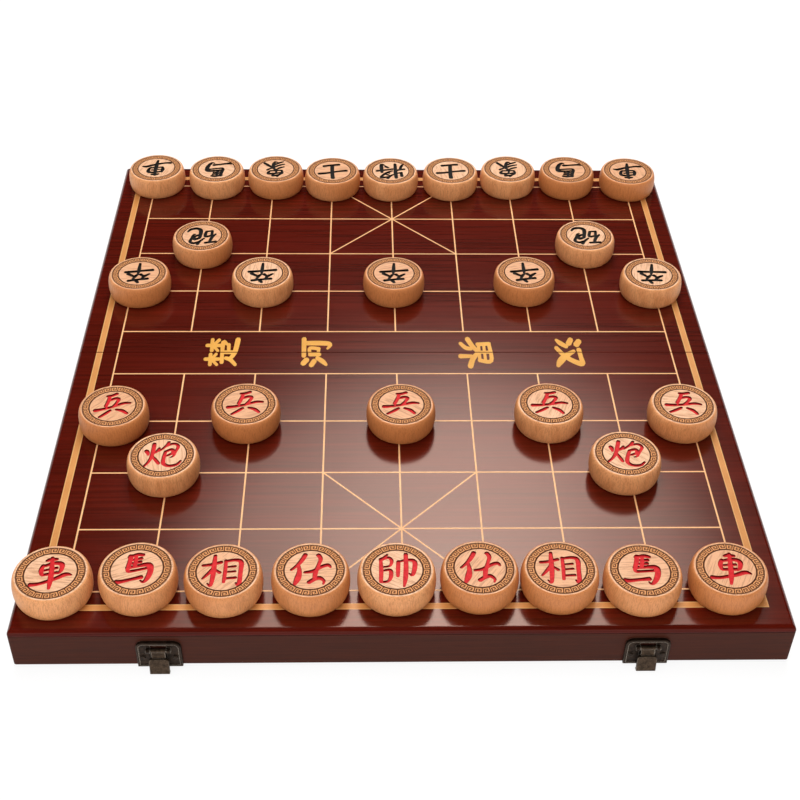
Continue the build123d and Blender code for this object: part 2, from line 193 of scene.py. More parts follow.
def paper():
    """Matt close to the box, to hold its shadow, and plain white to the eye farther off."""
    sweep = Finish("paper")
    camera_ray, glossy_ray, through_ray = sweep.sight()
    away = sweep.node("ShaderNodeVectorMath", {"operation": "LENGTH"}, {0: sweep.place()}, 1)
    matt = sweep.node("ShaderNodeBsdfDiffuse", None, {"Color": (0.86, 0.86, 0.86, 1.0)})
    glow = sweep.node("ShaderNodeEmission", None, {"Color": (1.0, 1.0, 1.0, 1.0), "Strength": 1.08})
    white = (camera_ray + glossy_ray + through_ray) * away.ramp(500, 1600, 0.8, 1.0)
    mixed = sweep.node("ShaderNodeMixShader", None, {0: white, 1: matt, 2: glow})
    return sweep.ends_in(mixed)


def mesh_object(name, bm, *materials):
    """A finished mesh as an object of its own, at the origin."""
    mesh = bpy.data.meshes.new(name)
    bm.to_mesh(mesh)
    bm.free()
    for material in materials:
        mesh.materials.append(material)
    made = bpy.data.objects.new(name, mesh)
    bpy.context.scene.collection.objects.link(made)
    return made


bm = bmesh.new()
bmesh.ops.create_grid(bm, x_segments=4, y_segments=4, size=SWEEP_REACH)
floor = mesh_object("floor", bm, paper())


def softbox(name, place, aim, width, depth, watts, tint, shape="RECTANGLE", mirrored=False):
    """A soft lamp, which the lacquer and the metal show only where it is mirrored."""
    lamp = bpy.data.lights.new(name, "AREA")
    lamp.shape = shape
    lamp.size = width
    lamp.size_y = depth
    lamp.energy = watts
    lamp.color = tint
    made = bpy.data.objects.new(name, lamp)
    made.location = place
    made.rotation_euler = (Vector(aim) - Vector(place)).to_track_quat("-Z", "Y").to_euler()
    made.visible_glossy = mirrored
    bpy.context.scene.collection.objects.link(made)


# The back softbox is brightest in its middle: four ovals, each smaller and nearer the board.
towards_board = Vector(BACK_AIM)
for i, (width, depth) in enumerate(BACK_SIZES):
    place = Vector(BACK_PLACE) + BACK_STEP * i * towards_board
    softbox(f"back_softbox_{i}", place, place + towards_board, width, depth,
            BACK_POWER * width * depth, (1.0, 0.96, 0.9), "ELLIPSE", True)
softbox("top_softbox", (-0.2, 0.1, 1.9), (0.0, 0.0, 0.0), 1.8, 1.4, 26.0, (1.0, 0.98, 0.96))
softbox("front_fill", (-0.15, -2.6, 1.9), (0.0, 0.0, 0.0), 4.2, 2.6, 70.0, (1.0, 0.98, 0.96))

world = bpy.data.worlds.new("studio_air")
bpy.context.scene.world = world
world.use_nodes = True
world.node_tree.nodes.clear()
air = Wiring(world.node_tree)
camera_ray, glossy_ray, through_ray = air.sight()
towards = air.parts(air.node("ShaderNodeTexCoord", None, None, "Generated"))[2]
dome = towards.ramp(0.05, 0.45, 0.4, 0.01)
over_floor = towards.ramp(0.2, 0.4, 1.0, 0.0)
white = camera_ray + (glossy_ray + through_ray) * over_floor
level = dome + white * (1 - dome)
sky = air.node("ShaderNodeBackground", None, {"Color": (1.0, 1.0, 1.0, 1.0), "Strength": level})
air.node("ShaderNodeOutputWorld", None, {"Surface": sky})

ahead = Vector((
    math.sin(CAMERA_YAW) * math.cos(CAMERA_DOWN),
    math.cos(CAMERA_YAW) * math.cos(CAMERA_DOWN),
    -math.sin(CAMERA_DOWN),
))
level_right = Vector((math.cos(CAMERA_YAW), -math.sin(CAMERA_YAW), 0.0))
level_down = ahead.cross(level_right)
right = math.cos(CAMERA_ROLL) * level_right + math.sin(CAMERA_ROLL) * level_down
down = math.cos(CAMERA_ROLL) * level_down - math.sin(CAMERA_ROLL) * level_right
view = bpy.data.cameras.new("camera")
view.sensor_width = SENSOR
view.lens = LENS
camera = bpy.data.objects.new("camera", view)
facing = Matrix((right, -down, -ahead)).transposed().to_4x4()
camera.matrix_world = Matrix.Translation(CAMERA_PLACE) @ facing
bpy.context.scene.collection.objects.link(camera)
bpy.context.scene.camera = camera
bpy.context.scene.view_settings.view_transform = "Standard"

# ---- the two playing panels ----
# Fibreboard, 4 mm thick with a rounded edge, faced in a printed dark red wood with long dark
# streaks across the board, under clear gloss lacquer. The edge is duller. Glued on the rails.


def dress(material, *nodes):
    """Gives solids of the frame their finish."""
    for node in nodes:
        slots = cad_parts[node].data.materials
        slots.clear()
        slots.append(material)


def lacquered_wood():
    wood = Finish("lacquered_panel")
    place = wood.place()
    streaks = wood.grain(place, (0.010, 0.42, 0.42), 5.0, 0.62, 0.3)
    hairs = wood.grain(place, (0.03, 3.2, 3.2), 2.0, 0.6)
    clouds = wood.grain(place, (0.006, 0.03, 0.03), 2.0)
    tone = streaks * 0.55 + hairs * 0.2 + clouds * 0.25
    deep = wood.blend(tone.ramp(0.32, 0.68), shade(60, 11, 4), shade(90, 19, 8))
    lines = (hairs * 0.6 + streaks * 0.4).ramp(0.38, 0.64)
    face = wood.shader(
        Base_Color=deep,
        Roughness=0.15 + lines * 0.02,
        IOR=1.5,
        Specular_Tint=(1.0, 0.72, 0.62, 1.0),
        Normal=wood.bump(lines, 0.002),
    )
    edge = wood.shader(Base_Color=deep, Roughness=0.3, Specular_IOR_Level=0.12)
    below_top = BOARD_TOP / MM - wood.parts(place)[2]
    rounding = below_top.ramp(0.7, 2.4)
    return wood.ends_in(wood.node("ShaderNodeMixShader", None, {0: rounding, 1: face, 2: edge}))


BOARD_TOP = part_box("near_panel")[1].z
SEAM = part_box("far_panel")[0].y
panel_finish = lacquered_wood()
dress(panel_finish, "near_panel", "far_panel")

# ---- the rails round each tray ----
# Softwood strips, 11 mm thick, mitred and glued at the corners of each tray. They are wrapped
# in matt dark brown film with a faint printed grain.


def wrapped_wood():
    film = Finish("wrapped_rail")
    place = film.place()
    grain = film.grain(place, (0.02, 0.02, 0.9), 4.0, 0.6)
    pores = film.grain(place, (0.12, 0.12, 4.0), 2.0)
    tone = (grain * 0.7 + pores * 0.3).ramp(0.35, 0.65)
    return film.surface(
        Base_Color=film.blend(tone, shade(58, 25, 15), shade(74, 34, 22)),
        Roughness=0.5 + tone * 0.08,
        Specular_IOR_Level=0.12,
        Normal=film.bump(pores, 0.01),
    )


rail_finish = wrapped_wood()
for half, long_side in (("near", "front"), ("far", "back")):
    for run in (long_side, "fold", "left", "right"):
        dress(rail_finish, f"{half}_{run}_rail")

# ---- the linings ----
# Card trays covered in dark wine flock, one glued into each half, so that the men lie quietly
# when the box is shut.


def flock():
    pile = Finish("lining")
    place = pile.place()
    fibres = pile.grain(place, (5.0, 5.0, 5.0), 2.0, 0.7)
    brushed = pile.grain(place, (0.06, 0.02, 0.05), 3.0)
    tone = (fibres * 0.5 + brushed * 0.5).ramp(0.3, 0.7)
    return pile.surface(
        Base_Color=pile.blend(tone, shade(58, 12, 16), shade(98, 26, 30)),
        Roughness=0.92,
        Sheen_Weight=0.6,
        Sheen_Roughness=0.4,
        Normal=pile.bump(fibres, 0.15),
    )


dress(flock(), "near_lining", "far_lining")

# ---- the ruled lines ----
# Screen printed in pale gold on the lacquer: nine files, ten ranks, a river between the halves,
# and a cross of diagonals in each palace. Only the two outer files run through the river.

FILE_PITCH = 47.5
RANK_PITCH = 48.4
RIVER = 46.7
LINE_WIDTH = 1.0
BAND_WIDTH = 4.3
BAND_X = 202.4
BAND_Y = 228.7
INK = 0.02
FOLD_EDGE = 0.25


def gold_ink(name, light, dark, banded=False):
    ink = Finish(name)
    place = ink.place()
    speckle = ink.grain(place, (2.2, 2.2, 2.2), 3.0, 0.7)
    wear = ink.grain(place, (0.05, 0.05, 0.05), 2.0)
    tone = (speckle * 0.6 + wear * 0.4).ramp(0.3, 0.7)
    tint = ink.blend(tone, dark, light)
    if banded:
        x, y, _ = ink.parts(place)
        off = (abs(x) - BAND_X).math("MAXIMUM", abs(y) - BAND_Y)
        rim = abs(off).ramp(BAND_WIDTH / 2 - 0.7, BAND_WIDTH / 2 - 0.3)
        tint = ink.blend(rim * 0.5, tint, shade(236, 190, 128))
    return ink.surface(Base_Color=tint, Roughness=0.42 - speckle * 0.1, Specular_IOR_Level=0.3)


line_ink = gold_ink("line_ink", shade(241, 191, 138), shade(226, 169, 116))
band_ink = gold_ink("band_ink", shade(212, 150, 88), shade(188, 124, 62), True)
letter_ink = gold_ink("letter_ink", shade(228, 170, 74), shade(200, 140, 52))


class Pattern(Wiring):
    """A Geometry Nodes tree that repeats a shape by named sizes."""

    def __init__(self, name, sizes):
        super().__init__(bpy.data.node_groups.new(name, "GeometryNodeTree"))
        door = self.tree.interface
        door.new_socket("Geometry", in_out="INPUT", socket_type="NodeSocketGeometry")
        door.new_socket("Geometry", in_out="OUTPUT", socket_type="NodeSocketGeometry")
        for size in sizes:
            door.new_socket(size, in_out="INPUT", socket_type="NodeSocketFloat")
        entry = self.tree.nodes.new("NodeGroupInput")
        self.given = {socket.name: Wire(self, socket) for socket in entry.outputs}

    def vector(self, x, y, z):
        return self.node("ShaderNodeCombineXYZ", None, {0: x, 1: y, 2: z})

    def finish(self, shape, material):
        """Ends the tree in real geometry with one material."""
        real = self.node("GeometryNodeRealizeInstances", None, {"Geometry": shape})
        inked = self.node("GeometryNodeSetMaterial", None, {"Geometry": real, "Material": material})
        self.node("NodeGroupOutput", None, {"Geometry": inked})


def grown(name, pattern, sizes, start=None):
    """The plain mesh that a pattern makes from these sizes."""
    seed = bpy.data.objects.new(name, start or bpy.data.meshes.new(name))
    bpy.context.scene.collection.objects.link(seed)
    modifier = seed.modifiers.new("pattern", "NODES")
    modifier.node_group = pattern.tree
    for item in pattern.tree.interface.items_tree:
        if item.in_out == "INPUT" and item.name in sizes:
            modifier[item.identifier] = float(sizes[item.name])
    bpy.context.view_layer.update()
    evaluated = seed.evaluated_get(bpy.context.evaluated_depsgraph_get())
    mesh = bpy.data.meshes.new_from_object(evaluated)
    seed.modifiers.remove(modifier)
    seed.data = mesh
    mesh.name = name
    return seed


def ruling():
    sizes = ("File pitch", "Rank pitch", "River", "Width", "Height", "Side", "Seam")
    lines = Pattern("ruling", sizes)
    file_pitch, rank_pitch, river, width, height, side, seam = [lines.given[s] for s in sizes]
    bank = river / 2
    reach = rank_pitch * 4
    middle = side * (bank + reach / 2)

    def bar(long, wide, lift):
        size = lines.vector(long, wide, INK * MM * lift)
        return lines.node("GeometryNodeMeshCube", None, {"Size": size})

    def row(count, first, step, shape, turn=(0.0, 0.0, 0.0)):
        points = lines.node("GeometryNodeMeshLine", None,
                            {"Count": count, "Start Location": first, "Offset": step})
        return lines.node("GeometryNodeInstanceOnPoints", None,
                          {"Points": points, "Instance": shape, "Rotation": turn})

    ranks = row(5, lines.vector(0.0, side * bank, height),
                lines.vector(0.0, side * rank_pitch, 0.0),
                bar(file_pitch * 8 + width, width, 2.0))
    files = row(9, lines.vector(file_pitch * -4, middle, height),
                lines.vector(file_pitch, 0.0, 0.0), bar(width, reach, 3.0))
    run = bank - seam
    through = row(2, lines.vector(file_pitch * -4, side * (seam + run / 2), height),
                  lines.vector(file_pitch * 8, 0.0, 0.0), bar(width, run, 3.0))
    across = file_pitch * 2
    along = rank_pitch * 2
    slant = along.math("ARCTAN2", across)
    length = (across * across + along * along).math("SQRT")
    crossing = lines.vector(0.0, side * (bank + rank_pitch * 3), height)
    none = lines.vector(0.0, 0.0, 0.0)
    rising = row(1, crossing, none, bar(length, width, 4.0), lines.vector(0.0, 0.0, slant))
    falling = row(1, crossing, none, bar(length, width, 5.0), lines.vector(0.0, 0.0, slant * -1.0))
    join = lines.tree.nodes.new("GeometryNodeJoinGeometry")
    for shape in (ranks, files, through, rising, falling):
        lines.tree.links.new(shape.socket, join.inputs[0])
    lines.finish(Wire(lines, join.outputs[0]), line_ink)
    return lines


rules = ruling()
for half, side in (("near", -1), ("far", 1)):
    ruled = grown(f"{half}_ruling", rules, {
        "File pitch": FILE_PITCH * MM,
        "Rank pitch": RANK_PITCH * MM,
        "River": RIVER * MM,
        "Width": LINE_WIDTH * MM,
        "Height": BOARD_TOP,
        "Side": side,
        "Seam": SEAM + FOLD_EDGE * MM,
    })
    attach(ruled, f"{half}_half")

# ---- the border band ----
# A broad band in darker gold, screen printed round the ruling with slightly paler rims. It is
# mitred at the corners and stops at the fold.


def border_band(side):
    bm = bmesh.new()
    outer = (BAND_X + BAND_WIDTH / 2, BAND_Y + BAND_WIDTH / 2)
    inner = (BAND_X - BAND_WIDTH / 2, BAND_Y - BAND_WIDTH / 2)
    fold = SEAM / MM + FOLD_EDGE
    lower, upper = [], []
    for x, y in (outer, inner):
        for px, py in ((-x, fold), (-x, y), (x, y), (x, fold)):
            lower.append(bm.verts.new((px * MM, side * py * MM, BOARD_TOP - INK * MM)))
            upper.append(bm.verts.new((px * MM, side * py * MM, BOARD_TOP + INK * MM)))
    for i in (0, 1, 2):
        bm.faces.new((upper[i], upper[i + 1], upper[i + 5], upper[i + 4]))
        bm.faces.new((lower[i], lower[i + 1], lower[i + 5], lower[i + 4]))
        bm.faces.new((lower[i], lower[i + 1], upper[i + 1], upper[i]))
        bm.faces.new((lower[i + 4], lower[i + 5], upper[i + 5], upper[i + 4]))
    for i in (0, 3):
        bm.faces.new((lower[i], upper[i], upper[i + 4], lower[i + 4]))
    bmesh.ops.recalc_face_normals(bm, faces=bm.faces)
    return bm


for half, side in (("near", -1), ("far", 1)):
    band = mesh_object(f"{half}_border_band", border_band(side), band_ink)
    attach(band, f"{half}_half")

# ---- the men ----
# Beech rod, turned to a drum with bulging sides, its end grain showing on the face. A key
# pattern is scorched between two fine turned grooves, and the mark of the man is cut a
# millimetre into the face and painted red or black, with a darker paint on the walls of the
# cut as painted shade. Sealed with satin lacquer.

MAN_DIAMETER = 44.2
MAN_HEIGHT = 16.6
FACE_DIAMETER = 40.0
BASE_DIAMETER = 38.6
RING_OUTER = 38.2
RING_INNER = 28.4
GROOVE = 0.5
GROOVE_DEPTH = 0.3
MARK_DEPTH = 1.1
MARK_SIZE = 23.5
BRUSH = 1.5
FINE_BRUSH = {
    "general_red": 1.2, "cannon_red": 1.2, "elephant_red": 1.25, "advisor_red": 1.35,
    "soldier_red": 1.4,
}
MARK_SLIM = {"elephant_black": 0.82, "soldier_black": 0.88, "cannon_black": 0.92}
PLATE_DEPTH = 2.0
FACETS = 96
KEY_UNITS = 24
KEY_LINE = 0.14

# The finishes of a man, in the order of its material slots.
# The fifth slot is a darker paint for the walls of the cut marks: painted shade in the cuts.
WOOD, GROUND, SCORCH, PAINT, PAINT_WALL_SHADE, SIDE = range(6)


def beech(name, pale, warm, line, ray, rays_shown, flecks_shown):
    """Fine dark rays and flecks on a warm ground that drifts from man to man."""
    wood = Finish(name)
    where = wood.node("ShaderNodeAttribute", {"attribute_name": "wood"}, None, "Vector")
    flecks = wood.grain(where, (2.4, 2.4, 0.6), 3.0, 0.6)
    rays = wood.grain(where, ray, 3.0, 0.6)
    rings = wood.grain(where, (0.04, 0.16, 0.05), 2.0, 0.5, 0.4)
    drift = wood.grain(where, (0.004, 0.004, 0.004), 1.0)
    base = wood.blend(drift.ramp(0.44, 0.56), pale, warm)
    base = wood.blend(rings.ramp(0.4, 0.7, 0.0, 0.5), base, warm)
    base = wood.blend(rays.ramp(0.47, 0.62, 0.0, rays_shown), base, line)
    base = wood.blend(flecks.ramp(0.5, 0.66, 0.0, flecks_shown), base, line)
    return wood.surface(
        Base_Color=base,
        Roughness=0.48 + rays * 0.08,
        Normal=wood.bump(flecks, 0.03),
    )


def scorched(name, light, dark):
    burn = Finish(name)
    where = burn.node("ShaderNodeAttribute", {"attribute_name": "wood"}, None, "Vector")
    mottle = burn.grain(where, (2.0, 2.0, 2.0), 3.0, 0.7)
    return burn.surface(
        Base_Color=burn.blend(mottle.ramp(0.35, 0.65), dark, light),
        Roughness=0.62 + mottle * 0.1,
        Specular_IOR_Level=0.2,
        Normal=burn.bump(mottle, 0.03),
    )


def mark_paint(name, light, dark):
    paint = Finish(name)
    where = paint.node("ShaderNodeAttribute", {"attribute_name": "wood"}, None, "Vector")
    brushed = paint.grain(where, (0.5, 0.5, 0.5), 4.0, 0.65)
    return paint.surface(
        Base_Color=paint.blend(brushed.ramp(0.3, 0.7), dark, light),
        Roughness=0.46 + brushed * 0.1,
        Specular_IOR_Level=0.12,
        Normal=paint.bump(brushed, 0.05),
    )


beech_wood = beech("turned_beech", shade(231, 185, 149), shade(220, 166, 126), shade(170, 116, 80),
                   (0.09, 1.0, 0.12), 0.6, 0.35)
# The sides take their own, more orange beech: long grain, and painted warm bounce light from the red
# board.
beech_side_with_painted_bounce = beech("turned_beech_side", shade(234, 165, 109), shade(206, 130, 74), shade(156, 90, 46),
                   (1.5, 1.5, 0.12), 0.3, 0.35)
ring_ground = scorched("ring_ground", shade(220, 158, 108), shade(202, 138, 86))
ring_key = scorched("ring_key", shade(92, 46, 18), shade(60, 28, 10))
# The second paint of each pair is darker and goes on the walls of the cut marks, as painted shade.
paints = {
    "red": (mark_paint("red_paint", shade(216, 46, 50), shade(188, 28, 36)),
            mark_paint("red_paint_edge", shade(108, 8, 14), shade(78, 4, 8))),
    "black": (mark_paint("black_paint", shade(24, 20, 18), shade(10, 8, 8)),
              mark_paint("black_paint_edge", shade(18, 14, 12), shade(8, 6, 6))),
}


def key_unit():
    """One turn of the key, one unit wide and one high, as a flat ribbon."""
    run = [
        (0.0, 0.06), (0.0, 0.93), (0.75, 0.93), (0.75, 0.35),
        (0.32, 0.35), (0.32, 0.66), (0.54, 0.66),
    ]
    bm = bmesh.new()
    left, right_side = [], []
    for i, (x, y) in enumerate(run):
        before = Vector(run[i]) - Vector(run[i - 1]) if i else Vector(run[1]) - Vector(run[0])
        after = Vector(run[i + 1]) - Vector(run[i]) if i < len(run) - 1 else before
        corner = before.normalized() + after.normalized()
        normal = Vector((-corner.y, corner.x)).normalized()
        reach = KEY_LINE / 2 / max(0.5, normal.dot(Vector((-before.y, before.x)).normalized()))
        left.append(bm.verts.new((x + normal.x * reach, y + normal.y * reach, 0)))
        right_side.append(bm.verts.new((x - normal.x * reach, y - normal.y * reach, 0)))
    for i in range(len(run) - 1):
        bm.faces.new((left[i], right_side[i], right_side[i + 1], left[i + 1]))
    foot = [bm.verts.new((x, y, 0)) for x, y in ((0.0, 0.0), (1.0, 0.0), (1.0, KEY_LINE), (0.0, KEY_LINE))]
    bm.faces.new(foot)
    bmesh.ops.recalc_face_normals(bm, faces=bm.faces)
    mesh = bpy.data.meshes.new("key_unit")
    bm.to_mesh(mesh)
    bm.free()
    return mesh


def key_ring():
    """A row of keys bent round into a ring."""
    sizes = ("Units", "Inner radius", "Outer radius", "Height")
    ring = Pattern("key_ring", sizes)
    units, inner, outer, height = [ring.given[s] for s in sizes]
    row = ring.node("GeometryNodeMeshLine", None,
                    {"Count": units, "Start Location": (0.0, 0.0, 0.0), "Offset": (1.0, 0.0, 0.0)})
    keys = ring.node("GeometryNodeInstanceOnPoints", None,
                     {"Points": row, "Instance": ring.given["Geometry"]})
    flat = ring.node("GeometryNodeRealizeInstances", None, {"Geometry": keys})
    x, y, _ = ring.parts(ring.node("GeometryNodeInputPosition"))
    angle = x / units * (-2 * math.pi)
    radius = inner + y * (outer - inner)
    bent = ring.vector(radius * angle.math("COSINE"), radius * angle.math("SINE"), height)
    rolled = ring.node("GeometryNodeSetPosition", None, {"Geometry": flat, "Position": bent})
    ring.finish(rolled, ring_key)
    return ring


key_band = grown("key_band", key_ring(), {
    "Units": KEY_UNITS,
    "Inner radius": (RING_INNER / 2 + GROOVE) * MM,
    "Outer radius": (RING_OUTER / 2 - GROOVE) * MM,
    "Height": (MAN_HEIGHT + 0.01) * MM,
}, key_unit())


def drum_profile():
    """Radius, height and finish from the edge of the carved disc round to the base."""
    face = MAN_HEIGHT
    low = face - GROOVE_DEPTH
    wall = 0.12
    run = [
        (RING_INNER / 2, face, SCORCH),
        (RING_INNER / 2 + wall, low, SCORCH),
        (RING_INNER / 2 + GROOVE - wall, low, SCORCH),
        (RING_INNER / 2 + GROOVE, face, GROUND),
        (RING_OUTER / 2 - GROOVE, face, SCORCH),
        (RING_OUTER / 2 - GROOVE + wall, low, SCORCH),
        (RING_OUTER / 2 - wall, low, SCORCH),
        (RING_OUTER / 2, face, WOOD),
    ]
    steps = 24
    for i in range(steps + 1):
        turn = math.pi * i / steps
        end = (FACE_DIAMETER if turn < math.pi / 2 else BASE_DIAMETER) / 2
        bulge = MAN_DIAMETER / 2 - end
        run.append((end + bulge * math.sin(turn), MAN_HEIGHT / 2 * (1 + math.cos(turn)), SIDE))
    return run


def drum_shell(bm):
    """Turns the profile round into the outside of a man, all but its carved disc."""
    rings = []
    profile = drum_profile()
    for radius, height, _ in profile:
        ring = []
        for i in range(FACETS):
            angle = 2 * math.pi * i / FACETS
            point = Vector((radius * math.cos(angle), radius * math.sin(angle), height))
            ring.append(bm.verts.new(point * MM))
        rings.append(ring)
    for level_index in range(len(rings) - 1):
        upper, lower = rings[level_index], rings[level_index + 1]
        for i in range(FACETS):
            j = (i + 1) % FACETS
            face = bm.faces.new((upper[i], lower[i], lower[j], upper[j]))
            face.material_index = profile[level_index][2]
    bm.faces.new(reversed(rings[-1])).material_index = SIDE


# Each mark is brushed on a square 100 units wide. A stroke is a row of points, each with its
# place across, its height and the width of the brush.
MARKS = {
    "chariot": (
        "40 90 5, 50 93 8, 66 92 6", "54 100 6, 53 70 8, 50 30 9, 46 0 5",
        "34 78 7, 28 62 8, 30 46 6", "34 74 6, 60 80 8, 76 74 9, 74 54 7, 66 46 5",
        "34 60 5, 66 64 6", "30 46 6, 66 49 7", "2 20 9, 24 20 7, 60 30 8, 84 40 9, 98 36 4"),
    "horse": (
        "36 96 9, 34 80 8, 30 62 8", "30 90 6, 52 97 8, 66 94 7", "34 80 5, 62 84 7",
        "32 69 5, 60 73 7", "48 94 6, 47 76 7, 44 58 7",
        "26 56 8, 50 60 7, 78 62 10, 82 44 10, 76 22 9, 66 8 6, 58 14 3",
        "28 60 6, 30 46 7, 44 46 6, 78 52 6", "2 14 11, 16 15 8, 40 20 7, 62 24 9"),
    "elephant_red": (
        "30 100 7, 29 70 10, 28 36 10, 24 4 7, 16 12 3", "2 68 7, 20 70 8, 46 78 8",
        "28 62 6, 18 44 8, 4 26 5", "30 56 5, 44 44 8",
        "56 84 7, 56 50 8, 54 14 7", "56 80 7, 76 84 8, 92 78 10, 92 44 9, 90 6 9, 82 12 4",
        "62 62 5, 80 64 6", "61 46 5, 80 48 6", "58 26 6, 82 28 7"),
    "advisor_red": (
        "38 100 9, 30 82 9, 18 64 7, 4 50 5", "22 64 6, 24 44 9, 20 22 12, 12 2 6",
        "36 42 6, 56 46 8, 78 60 8, 92 64 8, 98 56 4", "68 98 9, 74 84 8, 68 62 7, 62 40 9, 60 24 8",
        "46 10 9, 60 20 9, 72 24 9, 82 14 6, 80 4 4"),
    "general_red": (
        "28 98 5, 20 88 7, 10 82 7", "12 82 7, 13 50 9, 12 10 8",
        "14 80 6, 30 88 7, 38 78 8, 34 62 6, 20 58 5",
        "18 46 5, 34 48 8, 36 30 9, 30 14 7, 16 10 6", "54 76 8, 53 54 9, 52 28 7",
        "54 74 6, 74 80 7, 92 76 10, 92 52 10, 86 32 8, 78 38 3", "72 100 9, 72 60 10, 70 24 10, 66 -4 5"),
    "cannon_red": (
        "8 70 10, 12 62 10, 14 52 5", "42 78 6, 36 66 8, 28 58 5",
        "28 96 9, 26 70 10, 22 44 9, 14 24 7, 2 8 6", "26 46 6, 34 32 9, 42 18 8",
        "66 100 8, 58 84 7, 42 66 5", "60 84 6, 78 92 8, 90 82 8, 84 62 7, 78 44 6, 70 40 3",
        "56 62 7, 74 70 9, 76 56 8, 60 46 6", "58 64 8, 54 40 9, 54 18 10, 68 8 9, 88 12 8, 98 26 5"),
    "soldier_red": (
        "66 100 8, 52 94 8, 38 94 6", "46 94 7, 40 72 8, 32 52 8",
        "40 72 6, 58 80 8, 68 76 8, 62 62 7, 52 50 6",
        "2 40 10, 24 42 8, 54 48 7, 80 56 8, 98 54 6", "44 34 6, 32 24 8, 12 10 6",
        "58 34 6, 74 26 9, 86 12 7"),
    "general_black": (
        "34 98 8, 34 60 9, 32 4 7", "14 88 8, 15 66 7", "12 62 6, 34 68 6", "2 40 7, 32 48 7",
        "18 44 6, 12 22 7, 4 8 5", "64 100 7, 54 84 7, 42 74 5",
        "60 88 6, 84 92 8, 76 74 7, 60 58 6, 44 50 5", "58 78 6, 66 72 7", "54 66 5, 62 60 7",
        "42 38 7, 70 44 7, 98 48 8", "80 60 7, 80 30 9, 78 6 8, 66 14 3", "56 30 6, 66 20 8"),
    "advisor_black": (
        "2 54 9, 30 56 7, 70 64 8, 98 66 9", "52 100 10, 52 70 9, 49 20 9", "24 12 9, 50 14 8, 78 18 9"),
    "elephant_black": (
        "46 100 7, 36 88 7, 22 80 5", "40 90 6, 64 94 8, 56 80 6", "22 76 7, 26 60 7",
        "24 74 6, 56 80 7, 82 78 9, 74 62 6", "26 60 6, 74 62 6", "50 78 6, 46 60 6",
        "46 60 6, 58 44 9, 58 22 10, 50 4 7, 38 10 3", "44 52 6, 32 44 7, 14 38 5",
        "54 38 6, 36 28 7, 12 20 5", "54 24 6, 36 12 7, 16 4 5", "86 56 7, 74 48 6, 62 44 5",
        "62 42 6, 78 26 9, 96 8 8"),
    "cannon_black": (
        "2 88 8, 40 92 7", "24 88 7, 16 64 8, 2 44 5", "16 54 7, 14 24 7", "16 52 6, 38 56 8, 34 28 7",
        "15 26 6, 34 28 6", "66 100 8, 58 84 7, 42 66 5",
        "60 84 6, 78 92 8, 90 82 8, 84 62 7, 78 44 6, 70 40 3",
        "56 62 7, 74 70 9, 76 56 8, 60 46 6", "58 64 8, 54 40 9, 54 18 10, 68 8 9, 88 12 8, 98 26 5"),
    "soldier_black": (
        "48 100 7, 56 90 9", "16 80 8, 50 84 7, 84 90 8", "38 80 6, 28 66 8, 12 54 5",
        "32 68 6, 44 56 9", "68 82 6, 60 66 8, 50 54 5", "64 68 6, 76 60 8, 88 52 9",
        "2 34 9, 40 38 7, 74 42 8, 98 44 8", "52 52 6, 51 30 9, 50 -2 6"),
}


def stroke_outline(stroke, unit, brush):
    """The two sides of a brushed stroke, smooth through its points, with rounded ends."""
    points = [[float(v) for v in point.split()] for point in stroke.split(",")]
    points = [points[0], *points, points[-1]]
    line = []
    for i in range(1, len(points) - 2):
        before, start, end, after = points[i - 1:i + 3]
        for step in range(5):
            t = step / 5
            line.append([
                0.5 * (2 * b + (c - a) * t + (2 * a - 5 * b + 4 * c - d) * t * t
                       + (3 * b - a - 3 * c + d) * t ** 3)
                for a, b, c, d in zip(before, start, end, after)
            ])
    line.append(points[-1])
    sides = []
    round_end = 0.42
    for i, (x, y, width) in enumerate(line):
        last, following = line[max(0, i - 1)], line[min(len(line) - 1, i + 1)]
        along = Vector((following[0] - last[0], following[1] - last[1])).normalized()
        across = Vector((-along.y, along.x)) * width / 2 * brush
        middle = Vector((x, y))
        if i == 0:
            tip = middle - along * width * round_end
            sides.append((tip + across / 2, tip - across / 2))
        sides.append((middle + across, middle - across))
        if i == len(line) - 1:
            tip = middle + along * width * round_end
            sides.append((tip + across / 2, tip - across / 2))
    centre = Vector((50, 50))
    return [[(point - centre) * unit for point in pair] for pair in sides]


def brushed_blocks(strokes, unit, brush, low, high):
    """A closed block for each stroke, from low to high, with top and floor as finish 0."""
    bm = bmesh.new()
    for stroke in strokes:
        rows = []
        for left, right_side in stroke_outline(stroke, unit, brush):
            rows.append([bm.verts.new((p.x, p.y, z)) for z in (low, high) for p in (left, right_side)])
        for one, two in zip(rows, rows[1:]):
            bm.faces.new((one[2], one[3], two[3], two[2]))
            bm.faces.new((one[1], one[0], two[0], two[1]))
            bm.faces.new((one[0], one[2], two[2], two[0])).material_index = 1
            bm.faces.new((one[3], one[1], two[1], two[3])).material_index = 1
        bm.faces.new((rows[0][0], rows[0][1], rows[0][3], rows[0][2])).material_index = 1
        bm.faces.new((rows[-1][2], rows[-1][3], rows[-1][1], rows[-1][0])).material_index = 1
    return bm


def cut_block(block, tool, operation):
    """The mesh left when one block is cut by another."""
    cut = block.modifiers.new("cut", "BOOLEAN")
    cut.operation = operation
    cut.solver = "EXACT"
    cut.use_self = True
    cut.material_mode = "TRANSFER"
    cut.object = tool
    bpy.context.view_layer.update()
    mesh = bpy.data.meshes.new_from_object(block.evaluated_get(bpy.context.evaluated_depsgraph_get()))
    bpy.data.objects.remove(block)
    bpy.data.objects.remove(tool)
    return mesh


